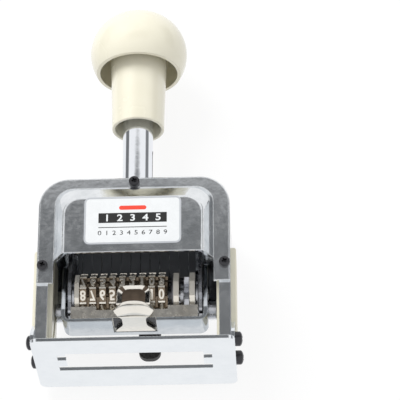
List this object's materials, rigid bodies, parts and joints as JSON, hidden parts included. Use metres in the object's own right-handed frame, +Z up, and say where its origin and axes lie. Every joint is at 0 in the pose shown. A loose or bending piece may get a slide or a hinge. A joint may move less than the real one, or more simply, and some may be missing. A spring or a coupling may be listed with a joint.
{
  "type": "numbering machine",
  "caption": "Self-inking numbering machine: a sprung plunger presses a row of figure wheels through a base window while a cam-guided pad swings aside.",
  "frame": {"origin": "on the paper plane, under the axis of the plunger tube, at the middle of the object's box", "axes": "+Z up along the plunger, -Y to the front with the hood and the scoop, +X to the right seen from the front, along the axle of the wheels"},
  "size_m": [0.0708, 0.0424, 0.1345],
  "materials": {
    "chrome": "polished",
    "nickel": "polished",
    "steel": "satin",
    "black_steel": "satin black oxide",
    "cream_plastic": "smooth gloss",
    "black_plastic": "matte",
    "rubber": "matte",
    "felt": "felt",
    "label": "white print on sheet"
  },
  "bodies": {
    "frame": {"base_plate": "chrome", "base_screws": "black_steel", "main_frame": "chrome", "left_guide": "cream_plastic", "right_guide": "cream_plastic", "front_cover": "chrome", "front_cover_screws": "black_steel", "nameplate": "label", "rear_cover": "chrome", "rear_cover_screws": "black_steel", "top_bushing": "chrome", "spring_pin": "steel", "spring_seat": "steel", "selector_pivot": "black_steel"},
    "carriage": {"plunger_tube": "chrome", "tube_collar": "steel", "top_bumper": "rubber", "tube_plug": "steel", "return_spring": "steel", "handle_sleeve": "cream_plastic", "knob_cap": "cream_plastic", "carriage_frame": "steel", "stay_rods": "steel", "wheel_axle": "steel", "left_axle_clip": "black_steel", "right_axle_clip": "black_steel", "comb_bar": "steel", "detent_springs": "black_steel", "left_blank_wheel": "nickel", "middle_blank_wheel": "nickel", "right_blank_wheel": "nickel", "wheel_spacer": "nickel", "repeat_pawl": "nickel"},
    "inker": {"inker_frame": "chrome", "follower_pins": "nickel", "pad_holder": "nickel", "ink_pad": "felt", "pad_clip": "nickel"},
    "feed_rocker": {"left_pawl_arm": "nickel", "right_pawl_arm": "nickel", "pawl_rod": "steel", "feed_pawl": "nickel"},
    "repeat_ratchet": {"repeat_ratchet": "nickel"},
    "selector": {"selector_lever": "nickel", "selector_tip": "black_plastic"},
    "lock_button": {"lock_button": "nickel"},
    "number_wheel_1": {"number_wheel_1": "nickel"},
    "number_wheel_2": {"number_wheel_2": "nickel"},
    "number_wheel_3": {"number_wheel_3": "nickel"},
    "number_wheel_4": {"number_wheel_4": "nickel"},
    "number_wheel_5": {"number_wheel_5": "nickel"},
    "number_wheel_6": {"number_wheel_6": "nickel"},
    "number_wheel_7": {"number_wheel_7": "nickel"},
    "number_wheel_8": {"number_wheel_8": "nickel"},
    "number_wheel_9": {"number_wheel_9": "nickel"}
  },
  "joints": [
    {"name": "press", "type": "slide", "parent": "frame", "child": "carriage", "axis": [0, 0, -1], "range_m": [0, 0.015], "stiffness_N_per_m": 900, "springref_m": -0.01, "deforming": ["return_spring"]},
    {"name": "inker_swing", "type": "hinge", "parent": "carriage", "child": "inker", "pos_m": [0, -0.0016, 0.023], "axis": [-1, 0, 0], "range_deg": [0, 90]},
    {"name": "feed_swing", "type": "hinge", "parent": "carriage", "child": "feed_rocker", "pos_m": [0, -0.0016, 0.023], "axis": [-1, 0, 0], "range_deg": [0, 40]},
    {"name": "repeat_ratchet_turn", "type": "hinge", "parent": "carriage", "child": "repeat_ratchet", "pos_m": [0, -0.0016, 0.023], "axis": [1, 0, 0], "continuous": true},
    {"name": "selector_turn", "type": "hinge", "parent": "frame", "child": "selector", "pos_m": [0.0036, 0.0171, 0.033], "axis": [0, 1, 0], "range_deg": [-22, 22]},
    {"name": "lock_button_push", "type": "slide", "parent": "frame", "child": "lock_button", "axis": [0, -1, 0], "range_m": [0, 0.002], "stiffness_N_per_m": 400, "springref_m": -0.002},
    {"name": "number_wheel_1_turn", "type": "hinge", "parent": "carriage", "child": "number_wheel_1", "pos_m": [0, -0.0016, 0.023], "axis": [1, 0, 0], "continuous": true},
    {"name": "number_wheel_2_turn", "type": "hinge", "parent": "carriage", "child": "number_wheel_2", "pos_m": [0, -0.0016, 0.023], "axis": [1, 0, 0], "continuous": true},
    {"name": "number_wheel_3_turn", "type": "hinge", "parent": "carriage", "child": "number_wheel_3", "pos_m": [0, -0.0016, 0.023], "axis": [1, 0, 0], "continuous": true},
    {"name": "number_wheel_4_turn", "type": "hinge", "parent": "carriage", "child": "number_wheel_4", "pos_m": [0, -0.0016, 0.023], "axis": [1, 0, 0], "continuous": true},
    {"name": "number_wheel_5_turn", "type": "hinge", "parent": "carriage", "child": "number_wheel_5", "pos_m": [0, -0.0016, 0.023], "axis": [1, 0, 0], "continuous": true},
    {"name": "number_wheel_6_turn", "type": "hinge", "parent": "carriage", "child": "number_wheel_6", "pos_m": [0, -0.0016, 0.023], "axis": [1, 0, 0], "continuous": true},
    {"name": "number_wheel_7_turn", "type": "hinge", "parent": "carriage", "child": "number_wheel_7", "pos_m": [0, -0.0016, 0.023], "axis": [1, 0, 0], "continuous": true},
    {"name": "number_wheel_8_turn", "type": "hinge", "parent": "carriage", "child": "number_wheel_8", "pos_m": [0, -0.0016, 0.023], "axis": [1, 0, 0], "continuous": true},
    {"name": "number_wheel_9_turn", "type": "hinge", "parent": "carriage", "child": "number_wheel_9", "pos_m": [0, -0.0016, 0.023], "axis": [1, 0, 0], "continuous": true}
  ],
  "couplings": [
    {"joint": "inker_swing", "follows": "press", "rad_per_m": 104.72},
    {"joint": "feed_swing", "follows": "press", "rad_per_m": 46.542}
  ]
}
